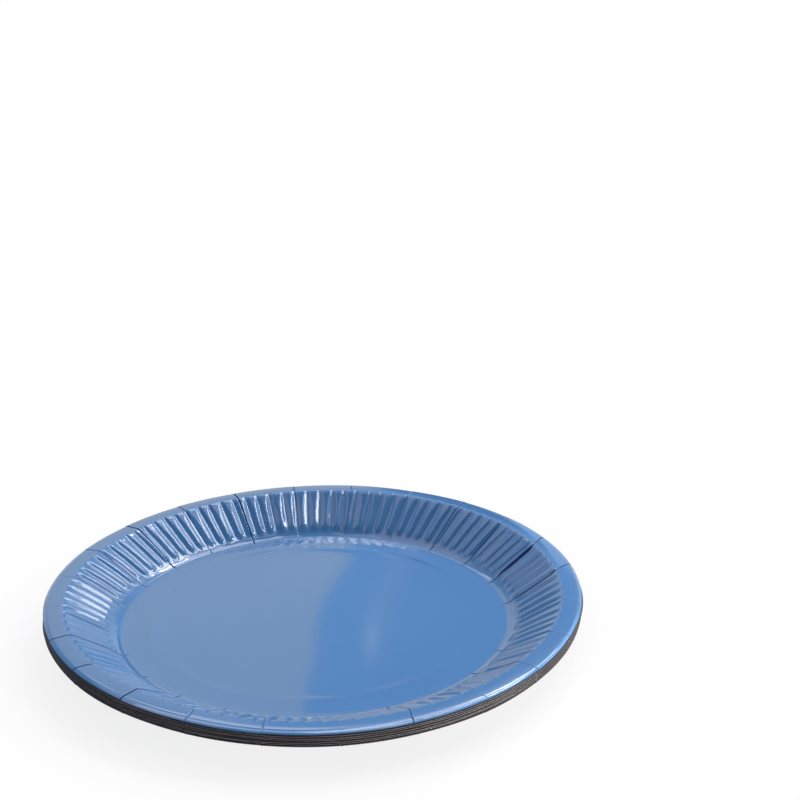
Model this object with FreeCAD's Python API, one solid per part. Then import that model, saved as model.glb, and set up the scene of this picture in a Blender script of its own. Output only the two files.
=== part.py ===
import FreeCAD, Part
import math
import os

# A stack of nested round paper plates, each pressed from one disc of board.
# Millimetres, +Z up. The origin is the centre of the stack's foot, on the table.

# Driving dimensions of the stack
plateCount = 7
seatClearance = 0.32        # air between two nested walls, measured upright

# Driving dimensions of one plate
boardThickness = 0.45
floorRadius = 82.5          # where the flat floor starts to bend up
wallWidth = 24.8            # from the floor's edge out to the shoulder, measured level
brimWidth = 7.7             # from the shoulder out to the cut edge, measured level
bendRadius = 8.0            # inside of the bend between floor and wall
wallAngle = 32.0            # of the wall above the floor, degrees
lipRadius = 4.0             # outside of the bend that turns the edge down
lipAngle = 38.0             # how far the edge is turned below level, degrees

# Driving dimensions of the pressed pattern
creasePairs = 12            # radial folds, of which one lies in a groove and the next on a ridge
linesPerCrease = 9          # ridge and groove lines from one crease to the next
fluteDepth = 1.15           # from groove to ridge at the shoulder, measured upright
tipLength = 3.4             # over which a ridge rises from the foot of the wall
creaseDepth = 0.35          # of the fold's valley below its banks
creaseHalfAngle = 0.42      # from the valley to either bank, degrees

# How finely the two round bends are divided
bendFacets = 2
lipFacets = 2

# Sizes that follow
shoulderRadius = floorRadius + wallWidth                # where the wall meets the level brim
rimRadius = shoulderRadius + brimWidth
creaseCount = 2 * creasePairs
lineCount = creaseCount * linesPerCrease
linePitch = 360.0 / lineCount
creasePitch = 360.0 / creaseCount
wallSlope = math.tan(math.radians(wallAngle))
footRadius = floorRadius + bendRadius * math.sin(math.radians(wallAngle))
footHeight = boardThickness + bendRadius * (1.0 - math.cos(math.radians(wallAngle)))
wallApex = footHeight - footRadius * wallSlope          # where the wall's cone meets the axis
brimHeight = wallApex + shoulderRadius * wallSlope
ridgeSlope = wallSlope + fluteDepth / shoulderRadius    # ridges aim at the same apex
fullRadius = footRadius + tipLength
uprightThickness = boardThickness * math.hypot(1.0, wallSlope)
lipStart = rimRadius - lipRadius * math.sin(math.radians(lipAngle))
stackPitch = uprightThickness + seatClearance
sewTolerance = 0.002

axisPoint = FreeCAD.Vector(0, 0, 0)
axisUp = FreeCAD.Vector(0, 0, 1)


def at(radius, height, angle):
    return FreeCAD.Vector(radius * math.cos(math.radians(angle)),
                          radius * math.sin(math.radians(angle)), height)


def isRidge(line):
    return line % 2 == 1


def isCrease(line):
    return line % linesPerCrease == 0


def mouthRadius(slope, inset):
    """Where a line of that slope comes out of the wall onto the brim."""
    rise = brimHeight - inset - wallApex + inset * uprightThickness / boardThickness
    return rise / slope


def wallHeight(radius, slope, inset):
    return wallApex + slope * radius - inset * uprightThickness / boardThickness


def lineCorners(line, inset):
    """Corners of a ridge or groove line from the floor's edge up to the brim.

    inset is 0 on the upper face and the board's thickness on the under face.
    """
    slope = ridgeSlope if isRidge(line) else wallSlope
    angle = line * linePitch
    drop = creaseDepth if isCrease(line) else 0.0
    corners = []
    for k in range(bendFacets + 1):
        turn = math.radians(wallAngle * k / bendFacets)
        radius = floorRadius + (bendRadius + inset) * math.sin(turn)
        height = boardThickness + bendRadius - (bendRadius + inset) * math.cos(turn)
        corners.append(at(radius, height - drop * k / bendFacets, angle))
    for radius in (fullRadius, mouthRadius(ridgeSlope, inset)):
        corners.append(at(radius, wallHeight(radius, slope, inset) - drop, angle))
    if not isRidge(line):
        corners.append(at(mouthRadius(wallSlope, inset), brimHeight - inset - drop, angle))
    return corners


def bank(line, side, inset):
    """Where a crease's bank starts, at the brim's inner edge beside its line."""
    angle = line * linePitch + side * creaseHalfAngle
    return at(mouthRadius(wallSlope, inset), brimHeight - inset, angle)


def lipProfile(inset):
    """Radius and height of the brim's outer part, from the level brim to the cut edge."""
    profile = []
    for k in range(lipFacets + 1):
        turn = math.radians(lipAngle * k / lipFacets)
        radius = lipStart + (lipRadius - inset) * math.sin(turn)
        profile.append((radius, brimHeight - lipRadius + (lipRadius - inset) * math.cos(turn)))
    return profile


def flatFace(*corners):
    return Part.Face(Part.makePolygon(list(corners) + [corners[0]]))


def twistedFace(a, b, c, d):
    """The ruled face over the corners a, b, c, d taken in turn."""
    return Part.makeRuledSurface(Part.makeLine(a, b), Part.makeLine(d, c))


def wallFaces(inset):
    """Bend, flutes and their mouths, between each line and the next."""
    faces = []
    lines = [lineCorners(k, inset) for k in range(lineCount)]
    full = bendFacets + 1
    for k in range(lineCount):
        following = (k + 1) % lineCount
        creased = isCrease(k) or isCrease(following)
        quad = twistedFace if creased else flatFace
        here, there = lines[k], lines[following]
        for row in range(bendFacets):
            faces.append(quad(here[row], here[row + 1], there[row + 1], there[row]))
        faces.append(quad(here[full], here[full + 1], there[full + 1], there[full]))
        # The rest runs from a ridge (r) to the groove beside it (g), whichever comes first
        r, g, ridge, groove, side = here, there, k, following, 1
        if not isRidge(k):
            r, g, ridge, groove, side = there, here, following, k, -1
        faces.append(flatFace(r[bendFacets], g[bendFacets], g[full]))
        faces.append(flatFace(r[bendFacets], g[full], r[full]))
        crown, mouth = r[full + 1], g[full + 2]
        if isCrease(ridge):
            crown = bank(ridge, side, inset)
            faces.append(flatFace(r[full + 1], g[full + 1], crown))
        if isCrease(groove):
            mouth = bank(groove, -side, inset)
            faces.append(flatFace(g[full + 1], g[full + 2], mouth))
        faces.append(flatFace(crown, g[full + 1], mouth))
    return faces


def floorFace(inset):
    return flatFace(*[lineCorners(k, inset)[0] for k in range(lineCount)])


def brimFaces(inset):
    """The level brim and turned-down lip, sector by sector, with a valley at each crease."""
    faces = []
    profile = lipProfile(inset)
    for first in range(0, lineCount, linesPerCrease):
        last = first + linesPerCrease
        start = first * linePitch + creaseHalfAngle
        sweep = creasePitch - 2.0 * creaseHalfAngle
        inner = [bank(first, 1, inset)]
        inner += [lineCorners(k, inset)[-1] for k in range(first + 1, last)]
        inner += [bank(last % lineCount, -1, inset)]
        radius, height = profile[0]
        rim = [at(radius, height, start + sweep * share) for share in (0.0, 0.5, 1.0)]
        edges = Part.makePolygon([rim[0]] + inner + [rim[2]]).Edges
        edges.append(Part.Arc(rim[2], rim[1], rim[0]).toShape())
        faces.append(Part.Face(Part.Wire(edges)))
        for (r0, z0), (r1, z1) in zip(profile, profile[1:]):
            run = Part.makeLine(at(r0, z0, start), at(r1, z1, start))
            faces.append(run.revolve(axisPoint, axisUp, sweep))
        faces += creaseFaces(first, inset)
    return faces


def creaseFaces(line, inset):
    """Both halves of a crease's valley across the brim and the lip."""
    faces = []
    middle = line * linePitch
    for side in (-1, 1):
        valley = [lineCorners(line, inset)[-1]]
        edge = [bank(line, side, inset)]
        for radius, height in lipProfile(inset):
            valley.append(at(radius, height - creaseDepth, middle))
            edge.append(at(radius, height, middle + side * creaseHalfAngle))
        for k in range(len(valley) - 1):
            faces.append(twistedFace(valley[k], valley[k + 1], edge[k + 1], edge[k]))
    return faces


def cutEdgeFaces():
    """The board's cut edge around the rim."""
    faces = []
    (r0, z0), (r1, z1) = lipProfile(0.0)[-1], lipProfile(boardThickness)[-1]
    for k in range(creaseCount):
        middle = k * creasePitch
        start = middle + creaseHalfAngle
        run = Part.makeLine(at(r0, z0, start), at(r1, z1, start))
        faces.append(run.revolve(axisPoint, axisUp, creasePitch - 2.0 * creaseHalfAngle))
        for side in (-1, 1):
            beside = middle + side * creaseHalfAngle
            faces.append(twistedFace(at(r0, z0 - creaseDepth, middle), at(r1, z1 - creaseDepth, middle),
                                     at(r1, z1, beside), at(r0, z0, beside)))
    return faces


def plateSolid():
    faces = cutEdgeFaces()
    for inset in (0.0, boardThickness):
        faces += wallFaces(inset) + brimFaces(inset)
        faces.append(floorFace(inset))
    shell = Part.makeCompound(faces)
    shell.sewShape(sewTolerance)
    solid = Part.makeSolid(shell.Shells[0])
    if solid.Volume < 0.0:
        solid.reverse()
    return solid


def main():
    os.makedirs("parts", exist_ok=True)
    plate = plateSolid()
    for k in range(plateCount):
        placed = plate.translated(FreeCAD.Vector(0, 0, k * stackPitch))
        placed.exportStep("parts/plate_%d.step" % (k + 1))
    top = plate.BoundBox.ZMax
    print("valid", plate.isValid(), "closed", plate.isClosed(), "faces", len(plate.Faces))
    print("plate volume mm3", round(plate.Volume, 1), "plate height", round(top, 2))
    print("pitch", round(stackPitch, 3), "stack height", round(top + (plateCount - 1) * stackPitch, 2))


main()
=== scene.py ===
import math

import bpy
import numpy as np
from mathutils import Matrix, Vector


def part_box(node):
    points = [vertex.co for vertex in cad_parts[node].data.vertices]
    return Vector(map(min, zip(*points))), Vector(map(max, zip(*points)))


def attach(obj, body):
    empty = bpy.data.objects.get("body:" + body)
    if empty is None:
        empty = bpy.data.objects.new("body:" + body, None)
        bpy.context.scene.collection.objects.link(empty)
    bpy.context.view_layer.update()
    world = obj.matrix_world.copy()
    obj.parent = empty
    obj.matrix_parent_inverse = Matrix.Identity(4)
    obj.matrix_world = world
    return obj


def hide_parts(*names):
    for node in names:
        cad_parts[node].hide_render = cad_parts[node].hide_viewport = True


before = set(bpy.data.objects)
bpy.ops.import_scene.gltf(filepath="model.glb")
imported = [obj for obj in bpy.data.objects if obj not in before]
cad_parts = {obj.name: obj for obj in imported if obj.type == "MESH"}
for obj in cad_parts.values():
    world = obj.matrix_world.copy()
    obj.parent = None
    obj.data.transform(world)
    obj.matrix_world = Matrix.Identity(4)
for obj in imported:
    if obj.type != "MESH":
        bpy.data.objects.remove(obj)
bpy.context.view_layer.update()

mm = 0.001
nodeNames = sorted(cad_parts)
topName = nodeNames[-1]

# One pressed plate, in millimetres and degrees, with the form of the CAD nodes
plate = {
    "board": 0.45,
    "floor": 82.5,          # radius of the flat floor
    "bend": 8.0,            # inside radius of the bend up to the wall
    "wallAngle": 32.0,
    "shoulder": 107.3,      # where the wall meets the brim
    "rim": 115.0,
    "lip": 3.2,             # radius of the turned-down edge
    "lipAngle": 38.0,
    "crown": 0.0065,        # the brim falls off outwards by this share of the distance squared
    "crownStart": 0.7,      # past the shoulder
    "sharpAngle": 50.0,     # faces that meet at more than this keep a sharp edge
}

# The flutes pressed into the wall
flutes = {
    "count": 108,
    "depth": 1.15,          # from groove to ridge at the shoulder
    "tip": 3.4,             # length over which a ridge rises from the foot of the wall
    "lowFrom": 9.0,         # inside the shoulder, where the ridges start to get lower
    "lowTo": 2.0,           # inside the shoulder, where they stop getting lower
    "lowShare": 0.25,       # share of their height that they lose
    "pitStart": 104.2,      # where a groove starts to close at the brim
    "pitEnd": 108.0,
    "pitNarrowing": 0.8,    # how much narrower a groove is there than halfway up
    "corner": 0.8,          # softness of the corner between ridge and brim
    "uneven": 0.07,         # share of a ridge's height that each uneven wave gives or takes
    "unevenWaves": [(23, 0.4), (37, 2.0), (58, 4.1)],       # waves round the plate, start
    "wobble": [(0.05, 31, 1.3), (0.04, 47, 0.0)],           # share of a pitch, waves, start
}

# The radial folds
creases = {
    "count": 24,
    "depth": 0.26,
    "halfWidth": 0.34,
    "start": 1.0,           # inside the floor's edge, where a fold begins
    "full": 2.5,            # outside the floor's edge, where it has its depth
    "gapeRise": 6.0,        # length over which a gaping fold opens from the foot of the wall
    "gapeEnd": 103.0,       # radius from which it closes again
    "gapeDepth": 0.7,
    "darkFrom": 0.351,      # a fold's painted shade fades from here to there, as shares of its half width
    "darkTo": 1.001,
    "darkGape": 0.2,        # and both move outwards by this share of its gape
    "darkStart": 0.5,       # inside the floor's edge
    "darkFull": 1.5,        # outside the floor's edge
    "panelEdge": 0.4,       # width beside a fold over which a panel takes its own level
    "turnStart": 4.0,       # inside the shoulder, where a fold starts to turn aside
    "columnGap": 0.03,      # degrees that the flutes' columns keep from a fold's own
}

# What the press leaves in the floor
floorMarks = {
    "ring": 70.5,
    "ringWidth": 1.8,
    "ringHeight": 0.09,
    "beadHeight": 0.05,     # raised line where the floor ends
    "beadWidth": 0.7,
    "wavesFrom": 12.0,      # inside the floor's edge, where its waves start to fade
    "wavesTo": 1.0,         # inside the floor's edge, where they are gone
    "waves": [(1.0, 17, 31, 0.6), (0.7, -23, 14, 0.0)],     # share, lengths along x and y, start
}

# How the whole stack's rim is bent, as seen in its outline: millimetres at the cut edge
rimWarp = {
    "level": -0.40,
    "turn": math.radians(4.23),
    "waves": [(-0.07, 0.95), (0.72, 0.45), (0.16, -0.36)],  # cosine and sine, once round, twice, thrice
    "from": 4.0,            # inside the foot of the wall
    "to": 2.0,              # past the shoulder
}

# How dark the painted shade in each crease of the top plate is, how much wider it gapes on the wall as a
# share of its width, and how far its end on the rim is turned, in degrees
topCreases = {
    "dark": [0.9, 1.0, 0.7, 0.6, 0.2, 0.3, 0.4, 1.0, 0.3, 0.8, 0.5, 0.35,
             0.2, 1.0, 0.9, 0.9, 0.4, 0.3, 0.1, 0.6, 0.15, 1.0, 0.8, 0.1],
    "gape": [0.1, 2.0, 0.8, 0.4, 0, 0, 0, 0.3, 0, 0.2, 0, 0,
             0, 0.3, 0, 0, 0, 0, 0, 0, 0, 2.2, 0.5, 0],
    "turn": [3.2, 3.4, 1.6, 0.3, 0.2, 0.5, 0.0, 0.0, -0.2, 0.3, 0.3, -0.4,
             -0.3, 0.3, -0.9, -0.3, 0.0, 0.2, -0.3, -1.0, 0.2, 0.3, 0.3, 0.8],
    "depth": 1.1,           # a fold's share of the depth is this times its dark
    "width": 1.3,           # its share of the width is this
    "narrower": 0.3,        # less this times its dark
}

# How much one plate differs from the next
handling = {
    "foldDepth": (0.6, 1.2),
    "foldWidth": (0.8, 1.2),
    "lean": 0.12,           # how far a panel leans from one side to the other, either way
    "topLean": 0.22,
    "level": 0.04,          # how far a panel lies above or below the next
    # how dark the painted shade in a lower plate's folds is
    "dark": (0.5, 1.0),
    "turn": 0.3,            # degrees
    "edge": 0.22,           # waver of the cut edge, outwards and inwards
    "topEdge": 0.06,
    "flutter": 0.07,        # waver of the cut edge, up and down
    "aside": 0.3,           # how far a plate lies off the middle
    "topWave": 0.035,       # height of the floor's waves
    "shadedMarginWidth": 3.0,       # edge of a lower plate's upper face without film, dark board as painted shade between the plates
    "waverTimes": (2, 3, 5, 8, 13),     # how often each of a waver's sines goes round
    "waverPeak": 2.2,       # about what their sum reaches
}

wallTurn = math.radians(plate["wallAngle"])
wallSlope = math.tan(wallTurn)
footRadius = plate["floor"] + plate["bend"] * math.sin(wallTurn)
footHeight = plate["board"] + plate["bend"] * (1 - math.cos(wallTurn))
wallApex = footHeight - footRadius * wallSlope
brimHeight = wallApex + plate["shoulder"] * wallSlope
lipStart = plate["rim"] - plate["lip"] * math.sin(math.radians(plate["lipAngle"]))
creasePitch = 2 * math.pi / creases["count"]
flutePitch = 2 * math.pi / flutes["count"]


# 0 before start, 1 after end, and the smooth step 3t^2 - 2t^3 between them
def ramp(x, start, end):
    t = np.clip((x - start) / (end - start), 0, 1)
    return t * t * (3 - 2 * t)


# The lower of a and b, with the corner rounded where they differ by less than width
def softMin(a, b, width):
    near = np.clip(width - np.abs(a - b), 0, None) / width
    return np.minimum(a, b) - near * near * width / 4


# A sum of sines round the plate, of that size
def waver(angle, phases, size):
    total = sum(np.sin(k * angle + phase) for k, phase in zip(handling["waverTimes"], phases))
    return size * total / handling["waverPeak"]


# Signed way round from the nearest crease, in radians, and that crease's number
def foldShift(angle):
    number = np.round(angle / creasePitch)
    return angle - number * creasePitch, number.astype(int) % creases["count"]


# 1 on the wall, where a fold can gape, and 0 on floor and brim: a smooth step up times one down
def gapingShare(radius):
    opening = ramp(radius, footRadius, footRadius + creases["gapeRise"])
    return opening * (1 - ramp(radius, creases["gapeEnd"], plate["shoulder"]))


# Height of the board's upper face (inset 0) or under face (inset the board's thickness). Floor, bend,
# wall, brim and lip follow one profile. A flute adds half a cosine from groove to ridge, rounded off
# over an ellipse at its foot, and a groove ends at the brim in the same way. Folds are taken off
# that, and the pressed marks are added.
def plateHeight(radius, angle, inset, own):
    wallDrop = inset / math.cos(wallTurn)
    arcBend = plate["bend"] + inset
    arcLip = plate["lip"] - inset
    out = np.clip(radius - plate["floor"], 0, None)
    floorAndBend = plate["board"] + plate["bend"] - np.sqrt(np.clip(arcBend**2 - out**2, 0, None))
    beyond = np.clip(radius - lipStart, 0, None)
    crown = plate["crown"] * np.clip(radius - plate["shoulder"] - plate["crownStart"], 0, None) ** 2
    brim = brimHeight - plate["lip"] + np.sqrt(np.clip(arcLip**2 - beyond**2, 0, None)) - crown
    nearBrim = ramp(radius, plate["shoulder"] - flutes["lowFrom"], plate["shoulder"] - flutes["lowTo"])
    ridge = flutes["depth"] * radius / plate["shoulder"] * (1 - flutes["lowShare"] * nearBrim)
    crest = softMin(wallApex + wallSlope * radius - wallDrop + ridge, brim, flutes["corner"])
    uneven = sum(np.sin(waves * angle + start) for waves, start in flutes["unevenWaves"])
    ridge = ridge * (1 + flutes["uneven"] * uneven)
    phase = angle / flutePitch
    for share, waves, start in flutes["wobble"]:
        phase = phase + share * np.sin(waves * angle + start)
    across = np.abs(phase % 1.0 - 0.5) * -2 + 1  # 0 in a groove, 1 on a ridge
    across = np.clip(across * (1 + flutes["pitNarrowing"] * nearBrim), 0, 1)
    foot = np.clip((footRadius + flutes["tip"] - radius) / flutes["tip"], 0, None)
    rise = 0.5 + 0.5 * np.cos(math.pi * np.clip(np.hypot(1 - across, foot), 0, 1))
    mouth = np.clip((radius - flutes["pitStart"]) / (flutes["pitEnd"] - flutes["pitStart"]), 0, None)
    close = 0.5 - 0.5 * np.cos(math.pi * np.clip(np.hypot(across, mouth), 0, 1))
    fluted = crest - ridge * (1 - np.where(radius < flutes["pitStart"], rise, close))
    height = np.where(radius < footRadius + inset * math.sin(wallTurn), floorAndBend, fluted)
    return height - foldDrop(radius, angle, own) + pressing(radius, angle, own)


# A crease is a V: its depth times one less the distance from its line over its half width
def foldDrop(radius, angle, own):
    shift, number = foldShift(angle)
    gape = own["gape"][number] * gapingShare(radius)
    width = creases["halfWidth"] * (own["foldWidth"][number] + gape)
    valley = np.clip(1 - np.abs(shift) * radius / width, 0, 1)
    started = ramp(radius, plate["floor"] - creases["start"], plate["floor"] + creases["full"])
    deep = own["foldDepth"][number] + creases["gapeDepth"] * gape
    return creases["depth"] * deep * valley * started


# Panels between two creases each lean in a straight line from side to side, ring and bead are bell
# curves over the radius, the floor's waves are sines across it, and the rim's bend is a sum of
# cosines and sines round it, nothing at the foot of the wall and full on the brim
def pressing(radius, angle, own):
    shift = foldShift(angle)[0]
    along = angle / creasePitch
    panel = np.floor(along).astype(int) % creases["count"]
    lean = own["lean"][panel] * (along - np.floor(along) - 0.5)
    lean = lean + own["level"][panel] * ramp(np.abs(shift) * radius, 0, creases["panelEdge"])
    lean = lean * ramp(radius, footRadius, plate["shoulder"])
    fromRing = (radius - floorMarks["ring"]) / floorMarks["ringWidth"]
    fromBead = (radius - plate["floor"]) / floorMarks["beadWidth"]
    raised = floorMarks["ringHeight"] * np.exp(-(fromRing**2))
    raised = raised + floorMarks["beadHeight"] * np.exp(-(fromBead**2))
    x = radius * np.cos(angle)
    y = radius * np.sin(angle)
    fading = ramp(radius, plate["floor"] - floorMarks["wavesFrom"], plate["floor"] - floorMarks["wavesTo"])
    waves = sum(share * np.sin(x / alongX + y / alongY + start)
                for share, alongX, alongY, start in floorMarks["waves"])
    waves = own["wave"] * (1 - fading) * waves
    turned = angle + rimWarp["turn"]
    warp = np.full_like(angle, rimWarp["level"])
    for times, (cosine, sine) in enumerate(rimWarp["waves"], 1):
        warp = warp + cosine * np.cos(times * turned) + sine * np.sin(times * turned)
    bent = ramp(radius, footRadius - rimWarp["from"], plate["shoulder"] + rimWarp["to"])
    return lean + raised + waves + (warp + waver(angle, *own["flutter"])) * bent


# What differs from plate to plate, drawn at random for each: folds, panels, outline and place
def plateOwn(rng, isTop):
    count = creases["count"]
    starts = rng.uniform(0, 2 * math.pi, (2, len(handling["waverTimes"])))
    own = {
        "foldDepth": rng.uniform(*handling["foldDepth"], count),
        "foldWidth": rng.uniform(*handling["foldWidth"], count),
        "lean": rng.uniform(-handling["lean"], handling["lean"], count),
        "level": rng.uniform(-handling["level"], handling["level"], count),
        "dark": rng.uniform(*handling["dark"], count),
        "turn": rng.uniform(-handling["turn"], handling["turn"], count + 1),
        "gape": np.zeros(count),
        "wave": 0.0,
        "edge": (starts[0], handling["edge"]),
        "flutter": (starts[1], handling["flutter"]),
        "aside": rng.uniform(-handling["aside"], handling["aside"], 2),
        "edgeSlot": 1,
        # past this radius a lower plate's upper face takes the dark board, as painted shade between the
        # plates
        "paintedShadeFrom": plate["rim"] - handling["shadedMarginWidth"],
    }
    if isTop:
        dark = np.array(topCreases["dark"])
        own["foldDepth"] = topCreases["depth"] * dark
        own["foldWidth"] = topCreases["width"] - topCreases["narrower"] * dark
        own["lean"] = rng.uniform(-handling["topLean"], handling["topLean"], count)
        own["dark"] = dark
        own["turn"] = np.array(topCreases["turn"] + topCreases["turn"][:1])
        own["gape"] = np.array(topCreases["gape"])
        own["wave"] = handling["topWave"]
        own["edge"] = (starts[0], handling["topEdge"])
        own["flutter"] = (starts[1], 0.0)
        own["aside"] = np.zeros(2)
        # the top plate's cut edge takes the dark board, as a painted shade line under the rim
        own["edgeSlot"] = 2
        own["paintedShadeFrom"] = plate["rim"]
    own["turn"][-1] = own["turn"][0]
    return own


# Angles of the grid's columns, in radians: even ones for the flutes, and in their place, at every
# crease, the ones that foldColumns gives in degrees beside its line
def columnAngles(perFlute, foldColumns):
    even = np.arange(flutes["count"] * perFlute) * (flutePitch / perFlute)
    centre = np.arange(creases["count"]) * creasePitch
    beside = np.radians(np.array(foldColumns))
    extra = (centre[:, None] + beside[None, :]).ravel() % (2 * math.pi)
    clear = np.radians(max(foldColumns) + creases["columnGap"])
    far = np.abs(foldShift(even)[0]) > clear
    return np.sort(np.concatenate([even[far], extra]))


# Painted shade in the folds, how dark each point is for a fold near it: one less the smooth step over
# its distance from the fold's line, times the fold's own dark
def foldPaintedShade(radius, angle, own):
    shift, number = foldShift(angle)
    gape = own["gape"][number] * gapingShare(radius)
    reach = creases["halfWidth"] * (1 + gape)
    away = np.abs(shift) * radius / reach - creases["darkGape"] * gape
    started = ramp(radius, plate["floor"] - creases["darkStart"], plate["floor"] + creases["darkFull"])
    return (1 - ramp(away, creases["darkFrom"], creases["darkTo"])) * started * own["dark"][number]


# A closed sheet: rings of the upper face from the middle out to the rim, the cut edge, and rings of
# the under face back in. Each ring is one radius taken all the way round, so a point is
# (r cos a, r sin a, height(r, a)), and the two poles are closed with fans.
def makePlate(name, base, own, topRadii, underRadii, angles):
    top = np.array(topRadii[1:])
    under = np.array(underRadii[1:])[::-1]
    topCount = len(top)
    radii = np.concatenate([top, under])
    r, a = np.meshgrid(radii, angles, indexing="ij")
    z = np.empty_like(r)
    z[:topCount] = plateHeight(r[:topCount], a[:topCount], 0.0, own)
    z[topCount:] = plateHeight(r[topCount:], a[topCount:], plate["board"], own)
    outward = waver(a, *own["edge"]) * ramp(r, plate["shoulder"], plate["rim"])
    marks = np.arange(creases["count"] + 1) * creasePitch
    turning = ramp(r, plate["shoulder"] - creases["turnStart"], plate["rim"])
    turn = np.radians(np.interp(a, marks, own["turn"])) * turning
    x = (r + outward) * np.cos(a + turn) + own["aside"][0]
    y = (r + outward) * np.sin(a + turn) + own["aside"][1]
    rings = np.stack([x, y, z + base], -1)
    zero = np.zeros(1)
    topPole = [*own["aside"], base + float(plateHeight(zero, zero, 0.0, own)[0])]
    underPole = [*own["aside"], base + float(plateHeight(zero, zero, plate["board"], own)[0])]
    points = np.concatenate([rings.reshape(-1, 3), [topPole, underPole]]) * mm
    rows, columns = r.shape
    index = np.arange(rows * columns).reshape(rows, columns)
    following = np.roll(index, -1, axis=1)
    quads = np.stack([index[:-1], index[1:], following[1:], following[:-1]], -1).reshape(-1, 4)
    topFan = np.stack([np.full(columns, rows * columns), index[0], following[0]], -1)
    underFan = np.stack([np.full(columns, rows * columns + 1), following[-1], index[-1]], -1)
    triangles = np.concatenate([topFan, underFan])
    mesh = bpy.data.meshes.new(name)
    mesh.vertices.add(len(points))
    mesh.vertices.foreach_set("co", points.ravel())
    mesh.loops.add(quads.size + triangles.size)
    mesh.loops.foreach_set("vertex_index", np.concatenate([quads.ravel(), triangles.ravel()]))
    mesh.polygons.add(len(quads) + len(triangles))
    starts = np.concatenate([np.arange(len(quads)) * 4, quads.size + np.arange(len(triangles)) * 3])
    mesh.polygons.foreach_set("loop_start", starts)
    # Slot 0 is the film on the upper face, slot 1 the cut edge, slot 2 dark board: the under face, and
    # painted shade on the top plate's cut edge and on the outer edge of a lower plate's upper face
    strip = np.repeat(np.arange(rows - 1), columns)
    slots = np.where(strip < topCount - 1, 0, np.where(strip == topCount - 1, own["edgeSlot"], 2))
    slots = np.where((strip < topCount - 1) & (radii[strip] > own["paintedShadeFrom"]), 2, slots)
    fanSlots = np.repeat([0, 2], columns)
    mesh.polygons.foreach_set("material_index", np.concatenate([slots, fanSlots]).astype(np.int32))
    mesh.polygons.foreach_set("use_smooth", np.ones(len(mesh.polygons), bool))
    # painted shade in the folds, kept on each point
    foldShade = np.concatenate([foldPaintedShade(r, a, own).ravel(), [0, 0]])
    foldShades = mesh.attributes.new("foldShade", "FLOAT", "POINT")
    foldShades.data.foreach_set("value", foldShade.astype(np.float32))
    mesh.update(calc_edges=True)
    mesh.validate()
    mesh.set_sharp_from_angle(angle=math.radians(plate["sharpAngle"]))
    made = bpy.data.objects.new(name, mesh)
    bpy.context.scene.collection.objects.link(made)
    return made


# A socket in a node tree that can be used in sums, so that a * b + 1 adds its Math nodes
class Wire:
    def __init__(self, tree, socket):
        self.tree = tree
        self.socket = socket

    def math(self, operation, *others, clamp=False):
        return self.tree.node("ShaderNodeMath", {"operation": operation, "use_clamp": clamp},
                              {i: v for i, v in enumerate((self,) + others)})

    def __add__(self, other):
        return self.math("ADD", other)

    __radd__ = __add__

    def __mul__(self, other):
        return self.math("MULTIPLY", other)

    __rmul__ = __mul__

    def __sub__(self, other):
        return self.math("SUBTRACT", other)

    def __rsub__(self, other):
        return self.tree.node("ShaderNodeMath", {"operation": "SUBTRACT"}, {0: other, 1: self})


# The node tree of one material or of the world
class Tree:
    def __init__(self, owner):
        owner.use_nodes = True
        self.nodes = owner.node_tree.nodes
        self.links = owner.node_tree.links
        self.nodes.clear()

    # Adds a node, sets its settings first, then its sockets' values or links
    def node(self, kind, settings=None, sockets=None, out=0):
        made = self.nodes.new(kind)
        for key, value in (settings or {}).items():
            setattr(made, key, value)
        for key, value in (sockets or {}).items():
            if isinstance(value, Wire):
                self.links.new(value.socket, made.inputs[key])
            else:
                made.inputs[key].default_value = value
        return Wire(self, made.outputs[out]) if made.outputs else made

    # a where share is 0 and b where it is 1
    def mix(self, share, a, b):
        return self.node("ShaderNodeMix", {"data_type": "RGBA"}, {0: share, 6: a, 7: b}, out=2)

    def noise(self, where, scale, detail, roughness):
        return self.node("ShaderNodeTexNoise", None,
                         {"Vector": where, "Scale": scale, "Detail": detail, "Roughness": roughness})

    # The smooth step from 0 to 1, or from low to high, as value goes from start to end
    def step(self, value, start, end, low=0.0, high=1.0):
        return self.node("ShaderNodeMapRange", {"interpolation_type": "SMOOTHSTEP"},
                         {0: value, 1: start, 2: end, 3: low, 4: high})


# The blue film. A noise has its scale per metre, its detail and its roughness.
film = {
    "blue": (0.049, 0.184, 0.396, 1),
    "blueWarm": (0.056, 0.196, 0.406, 1),
    "fibreBlue": (0.16, 0.30, 0.52, 1),
    # navy of the painted shade in the folds
    "foldShadeNavy": (0.008, 0.026, 0.095, 1),
    "cloud": (28.0, 2.0, 0.5),
    "fibre": (900.0, 4.0, 0.6),
    "grain": (420.0, 3.0, 0.55),
    "slow": (45.0, 2.0, 0.5),
    "fibreShare": 0.10,
    "slowBump": 2.0,
    "bumpStrength": 0.12,
    "bumpDistance": 0.00012,
    "roughness": 0.26,
    "slowRoughness": 0.12,
    "dullRoughness": 0.5,
    "dullGain": 2.5,        # how much faster a fold goes dull than its painted shade darkens
    "ior": 1.45,
    "specular": 0.08,
    "coatIor": 1.5,
    "coatRoughness": 0.04,
}
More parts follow.
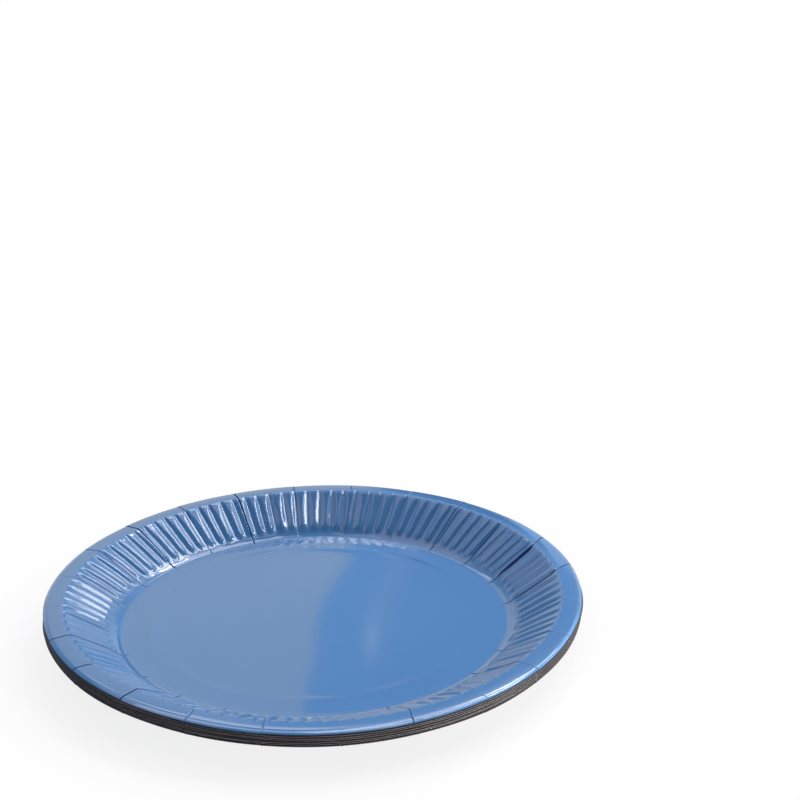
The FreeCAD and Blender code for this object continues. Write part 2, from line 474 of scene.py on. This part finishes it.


# Glossy blue film on board: slow tone changes, fine fibre bump, and navy painted shade in the folds, where
# the film also goes dull
def filmMaterial():
    material = bpy.data.materials.new("laminate")
    tree = Tree(material)
    where = tree.node("ShaderNodeTexCoord", out=3)
    foldShade = tree.node("ShaderNodeAttribute", {"attribute_name": "foldShade"}, out=2)
    cloudy = tree.noise(where, *film["cloud"])
    colour = tree.mix(cloudy, film["blue"], film["blueWarm"])
    fibres = tree.noise(where, *film["fibre"])
    colour = tree.mix(fibres * film["fibreShare"], colour, film["fibreBlue"])
    # navy painted shade in the folds
    colour = tree.mix(foldShade, colour, film["foldShadeNavy"])
    dull = foldShade.math("MULTIPLY", film["dullGain"], clamp=True)
    grain = tree.noise(where, *film["grain"])
    slow = tree.noise(where, *film["slow"])
    bump = tree.node("ShaderNodeBump", None, {
        "Strength": film["bumpStrength"], "Distance": film["bumpDistance"],
        "Height": grain + slow * film["slowBump"]})
    roughness = slow * film["slowRoughness"] + dull * film["dullRoughness"] + film["roughness"]
    shader = tree.node("ShaderNodeBsdfPrincipled", None, {
        "Base Color": colour, "Roughness": roughness, "Normal": bump, "IOR": film["ior"],
        "Specular IOR Level": film["specular"], "Coat Weight": 1 - dull,
        "Coat Roughness": film["coatRoughness"], "Coat IOR": film["coatIor"]})
    tree.node("ShaderNodeOutputMaterial", None, {"Surface": shader})
    return material


# Board for the cut edge, and near-black board for the under face that also stands as painted shade between
# the plates and under the rim, with its noises as above
board = {
    "cutDark": (0.14, 0.122, 0.116, 1),
    "cutLight": (0.52, 0.48, 0.46, 1),
    "cutRoughness": 0.6,
    # near-black board, also the painted shade between the plates
    "boardAndShadeDark": (0.018, 0.017, 0.018, 1),
    "boardAndShadeLight": (0.060, 0.056, 0.056, 1),
    "boardAndShadeRoughness": 0.5,
    "fibre": (1500.0, 4.0, 0.65),
    "patch": (90.0, 3.0, 0.5),
    "fibreShare": 0.6,
    "patchShare": 0.4,
    "patchRoughness": 0.2,
    "ior": 1.45,
    "bumpStrength": 0.3,
    "bumpDistance": 0.00008,
}


# Dark board: fibres and patches between two shades, a little bump and a dry surface
def boardMaterial(name, dark, light, roughness):
    material = bpy.data.materials.new(name)
    tree = Tree(material)
    where = tree.node("ShaderNodeTexCoord", out=3)
    fibres = tree.noise(where, *board["fibre"])
    patches = tree.noise(where, *board["patch"])
    shade = tree.mix(fibres * board["fibreShare"] + patches * board["patchShare"], dark, light)
    bump = tree.node("ShaderNodeBump", None, {
        "Strength": board["bumpStrength"], "Distance": board["bumpDistance"],
        "Height": fibres + patches})
    shader = tree.node("ShaderNodeBsdfPrincipled", None, {
        "Base Color": shade, "Roughness": patches * board["patchRoughness"] + roughness,
        "IOR": board["ior"], "Normal": bump})
    tree.node("ShaderNodeOutputMaterial", None, {"Surface": shader})
    return material


# The photograph's view, in degrees, millimetres and pixels: from where the rim's centre is seen, how
# far the picture is rolled, and the pixel on which that centre falls
view = {
    "elevation": 26.38,
    "azimuth": -94.23,
    "distance": 765.8,
    "roll": -1.95,
    "focalPixels": 1762.2,
    "imageSize": 800.0,
    "centreX": 313.9,
    "centreY": 590.2,
    "pitch": 0.85,          # from one plate to the next
    "lipDrop": 0.85,        # from the brim down to the cut edge
    "sensor": 36.0,
    "clip": (0.01, 50.0),
}


# The camera looks along the line to the rim's centre, turned aside by the angle between the middle
# of the picture and the pixel on which the centre falls
def makeCamera():
    e = math.radians(view["elevation"])
    z = math.radians(view["azimuth"])
    rimCentre = Vector((0, 0, view["pitch"] * (len(nodeNames) - 1) + brimHeight - view["lipDrop"]))
    outward = Vector((math.cos(z) * math.cos(e), math.sin(z) * math.cos(e), math.sin(e)))
    forward = -outward
    right = forward.cross(Vector((0, 0, 1))).normalized()
    up = right.cross(forward)
    roll = math.radians(view["roll"])
    rightRolled = right * math.cos(roll) + up * math.sin(roll)
    upRolled = -right * math.sin(roll) + up * math.cos(roll)
    half = view["imageSize"] / 2
    aim = Vector(((view["centreX"] - half) / view["focalPixels"],
                  -(view["centreY"] - half) / view["focalPixels"], 1)).normalized()
    turn = Vector((0, 0, 1)).rotation_difference(aim).to_matrix()
    seen = turn @ Matrix((rightRolled, upRolled, forward))
    axes = Matrix((seen[0], seen[1], -seen[2])).transposed()
    place = (rimCentre + outward * view["distance"]) * mm
    data = bpy.data.cameras.new("camera")
    data.sensor_width = view["sensor"]
    data.lens = view["focalPixels"] / view["imageSize"] * view["sensor"]
    data.clip_start, data.clip_end = view["clip"]
    camera = bpy.data.objects.new("camera", data)
    camera.matrix_world = Matrix.Translation(place) @ axes.to_4x4()
    bpy.context.scene.collection.objects.link(camera)
    bpy.context.scene.camera = camera


# The white table, in metres
table = {
    "halfSize": 8.0,
    "colour": (0.93, 0.93, 0.93, 1),
    "near": 0.12,           # distance from the middle from which it gets paper white
    "far": 0.17,
    "leastWhite": 0.84,     # share of plain white under the plates
    "roughness": 0.9,
    "specular": 0.1,
}


# The table shows its shadow near the plates, and plain white further out for the camera
def makeTable():
    size = table["halfSize"]
    mesh = bpy.data.meshes.new("floor")
    corners = [(-size, -size, 0), (size, -size, 0), (size, size, 0), (-size, size, 0)]
    mesh.from_pydata(corners, [], [(0, 1, 2, 3)])
    floor = bpy.data.objects.new("floor", mesh)
    bpy.context.scene.collection.objects.link(floor)
    material = bpy.data.materials.new("paleFloor")
    tree = Tree(material)
    where = tree.node("ShaderNodeTexCoord", out=3)
    reach = tree.node("ShaderNodeVectorMath", {"operation": "LENGTH"}, {0: where}, out=1)
    away = tree.step(reach, table["near"], table["far"], table["leastWhite"])
    isCamera = tree.node("ShaderNodeLightPath")
    shader = tree.node("ShaderNodeBsdfPrincipled", None, {
        "Base Color": table["colour"], "Roughness": table["roughness"],
        "Specular IOR Level": table["specular"]})
    white = tree.node("ShaderNodeEmission", None, {"Color": (1, 1, 1, 1), "Strength": 1.0})
    both = tree.node("ShaderNodeMixShader", None, {0: away * isCamera, 1: shader, 2: white})
    tree.node("ShaderNodeOutputMaterial", None, {"Surface": both})
    mesh.materials.append(material)


# Direction from the plates, distance, width, height, power and colour, in metres and watts
lamps = {
    "keySoftbox": ((0.34, 0.62, 0.80), 1.5, 0.26, 0.12, 1.8, (1.0, 0.98, 0.97)),
    "sideWindow": ((0.60, 0.17, 0.78), 1.5, 0.20, 0.28, 2.8, (1.0, 0.98, 1.0)),
    "edgeFill": ((0.806, -0.591, 0.04), 0.20, 0.12, 0.013, 0.24, (1.0, 0.99, 1.0)),
}

# The same for cards, which are only seen mirrored in the film
cards = {
    "lowPane": ((0.509, 0.454, 0.731), 1.5, 0.20, 0.40, 2.3, (1.0, 0.99, 1.0)),
    "highPane": ((0.402, 0.211, 0.891), 1.5, 0.20, 0.40, 2.3, (1.0, 0.99, 1.0)),
    "wideCard": ((-0.03, -0.07, 0.12), 0.142, 0.20, 0.08, 0.13, (0.88, 0.95, 1.0)),
    "lipCard": ((0.015, -0.07, 0.12), 0.142, 0.06, 0.08, 0.07, (0.88, 0.95, 1.0)),
}


# A rectangular lamp at that direction from the plates, facing them
def makeLamp(name, direction, distance, width, height, power, colour):
    data = bpy.data.lights.new(name, "AREA")
    data.shape = "RECTANGLE"
    data.size = width
    data.size_y = height
    data.energy = power
    data.color = colour
    lamp = bpy.data.objects.new(name, data)
    way = Vector(direction).normalized()
    lamp.location = way * distance
    lamp.rotation_mode = "QUATERNION"
    lamp.rotation_quaternion = way.to_track_quat("Z", "Y")
    lamp.visible_camera = False
    bpy.context.scene.collection.objects.link(lamp)
    return lamp


# What stands round the plates, as soft-edged patches of the world: colour, then azimuths from straight
# ahead (right is positive) and elevations, in degrees, with how soft each pair of sides is. A later
# patch is painted over an earlier one.
surround = {
    "turn": math.radians(-4.23),
    "base": (0.12, 0.14, 0.20, 1),
    "behindFrom": -95.0,    # azimuths below this count on from 180
    "aside": 0.5,           # how far the upright sides stand to the left
    "leanTop": 30.1,        # elevation below which they lean to the right
    "leanOver": 5.2,        # over this many degrees down
    "leanStraight": 0.4,    # degrees, in a straight line
    "leanCurved": 1.6,      # degrees, with the square
    "patches": [
        ((0.22, 0.23, 0.26, 1), (125, 270, 18), (14, 66, 12)),
        ((0.40, 0.55, 0.82, 1), (-95, -12, 6), (-4, 46, 6)),
        ((0.60, 0.72, 0.92, 1), (12, 84, 2), (-8, 33, 5)),
        ((0.95, 1.02, 1.10, 1), (7, 30, 2), (4, 21, 2)),
        ((7.00, 6.80, 6.60, 1), (84, 126, 6), (3, 17, 3)),
        ((0.34, 0.66, 1.36, 1), (-3, 14, 1), (21, 34, 2)),
        ((0.65, 1.00, 1.65, 1), (-3, 45, 4), (34, 43, 2)),
        ((1.02, 1.07, 1.05, 1), (-18, 0, 0.35), (22.5, 35, 1)),
        ((1.00, 0.97, 0.78, 1), (-18, -7.5, 1.5), (24.5, 30, 1)),
        ((0.92, 0.90, 0.80, 1), (-42, -6, 2), (-2, 24.0, 1.5)),
        ((1.05, 0.94, 0.66, 1), (-7, 1.5, 1), (4, 21.5, 1.5)),
        ((0.90, 1.25, 2.00, 1), (7, 13, 1), (18, 25, 1)),
        ((3.30, 3.15, 3.30, 1), (-22, 2.5, 1.5), (35.8, 39, 1)),
        ((1.60, 1.46, 1.58, 1), (-95, -5, 4), (44, 74, 4)),
        ((1.70, 1.60, 1.80, 1), (40, 100, 8), (57, 78, 4)),
        ((2.10, 2.02, 2.10, 1), (34, 66, 4), (25, 40, 3)),
        ((5.00, 4.80, 5.20, 1), (4.5, 12, 2), (38, 63, 3)),
        ((4.80, 4.60, 5.00, 1), (11, 40, 2), (45, 63, 2)),
        ((3.80, 3.60, 3.85, 1), (40, 64, 2), (45, 58, 2)),
        ((0.05, 0.10, 0.25, 1), (2.4, 7.4, 0.8), (5, 24.0, 0.5)),
        ((0.52, 0.76, 1.35, 1), (1.8, 2.6, 0.5), (23.5, 28.6, 1.2)),
        ((1.20, 1.40, 2.00, 1), (1.85, 2.15, 0.3), (27.4, 28.5, 0.6)),
    ],
}


# Radiance by direction for light and reflections, and plain white for the camera. Azimuth is the
# angle whose tangent is right over ahead, and elevation the one whose sine is the height.
def makeWorld():
    world = bpy.data.worlds.new("studio")
    bpy.context.scene.world = world
    tree = Tree(world)
    toward = tree.node("ShaderNodeTexCoord")
    turn = surround["turn"]

    def along(x, y, z):
        return tree.node("ShaderNodeVectorMath", {"operation": "DOT_PRODUCT"},
                         {0: toward, 1: (x, y, z)}, out=1)

    def band(value, low, high, soft):
        return tree.step(value, low - soft, low + soft) * (1 - tree.step(value, high - soft, high + soft))

    right = along(math.cos(turn), math.sin(turn), 0)
    ahead = along(-math.sin(turn), math.cos(turn), 0)
    azimuth = right.math("ARCTAN2", ahead) * (180 / math.pi)
    azimuth = azimuth + azimuth.math("LESS_THAN", surround["behindFrom"]) * 360.0
    elevation = along(0, 0, 1).math("ARCSINE") * (180 / math.pi)
    low = (surround["leanTop"] - elevation).math("MULTIPLY", 1 / surround["leanOver"], clamp=True)
    leaning = azimuth + surround["aside"] - low * surround["leanStraight"]
    leaning = leaning - low * low * surround["leanCurved"]
    colour = surround["base"]
    for tint, (left, end, softAside), (bottom, top, softUp) in surround["patches"]:
        share = band(leaning, left, end, softAside) * band(elevation, bottom, top, softUp)
        colour = tree.mix(share, colour, tint)
    isCamera = tree.node("ShaderNodeLightPath")
    light = tree.node("ShaderNodeBackground", None, {"Color": colour, "Strength": 1.0})
    white = tree.node("ShaderNodeBackground", None, {"Color": (1, 1, 1, 1), "Strength": 1.0})
    both = tree.node("ShaderNodeMixShader", None, {0: isCamera, 1: light, 2: white})
    tree.node("ShaderNodeOutputWorld", None, {"Surface": both})


# Radii of the rings of points, closer together where the profile bends, and columns per flute and
# beside a fold, in degrees
topGrid = {
    "top": [0, 8, 16, 24, 32, 40, 48, 56, 62, 66, 68, 69.2, 70.5, 71.8, 73, 75, 78, 80.6, 81.6, 82.1,
            82.5, 82.9, 83.5, 84.6, 85.7, 86.74, 87.3, 87.9, 88.6, 89.3, 90.14, 93.5, 97, 100.5, 103.0,
            104.2, 104.8, 105.4, 106.0, 106.5, 107.0, 107.5, 108.0, 108.6, 109.5, 111.2, 112.54, 113.2,
            113.8, 114.4, 114.8, 115.0],
    "under": [0, 40, 78, 82.5, 84.7, 86.98, 88.6, 90.3, 97, 104.9, 106.0, 107.0, 108.0, 109.5,
              112.5, 113.8, 114.72],
    "columns": columnAngles(12, [-0.42, -0.26, -0.17, -0.10, -0.04, 0.04, 0.10, 0.17, 0.26, 0.42]),
}
lowerGrid = {
    "top": [0, 40, 81.5, 82.5, 84.6, 86.74, 87.9, 89.0, 90.14, 97, 104.9, 105.8, 106.6, 107.4,
            108.2, 110, 112.54, 113.5, 114.4, 115.0],
    "under": [0, 40, 82.5, 84.7, 86.98, 88.6, 90.3, 97, 104.9, 106.0, 107.0, 108.0, 110, 112.5, 114.72],
    "columns": columnAngles(8, [-0.42, -0.15, 0.0, 0.15, 0.42]),
}
seed = 20

makeCamera()
makeTable()
makeWorld()
print("stage: camera, table and world")

for lampName, setting in lamps.items():
    makeLamp(lampName, *setting)
for cardName, setting in cards.items():
    card = makeLamp(cardName, *setting)
    card.visible_diffuse = False
print("stage: lamps and cards")

blueFilm = filmMaterial()
cutEdge = boardMaterial("cutEdge", board["cutDark"], board["cutLight"], board["cutRoughness"])
# dark board, also painted shade between the plates and under the top plate's rim
darkBoardAndShade = boardMaterial("darkBoardAndShade", board["boardAndShadeDark"], board["boardAndShadeLight"], board["boardAndShadeRoughness"])
print("stage: materials")

for order, nodeName in enumerate(nodeNames):
    low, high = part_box(nodeName)
    isTop = nodeName == topName
    own = plateOwn(np.random.default_rng(seed + order), isTop)
    grid = topGrid if isTop else lowerGrid
    piece = makePlate("paper_" + nodeName, low.z / mm, own, grid["top"], grid["under"], grid["columns"])
    for material in (blueFilm, cutEdge, darkBoardAndShade):
        piece.data.materials.append(material)
    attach(piece, "root")
    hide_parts(nodeName)
    print("stage:", piece.name, len(piece.data.polygons), "faces")

bpy.context.scene.view_settings.view_transform = "Standard"
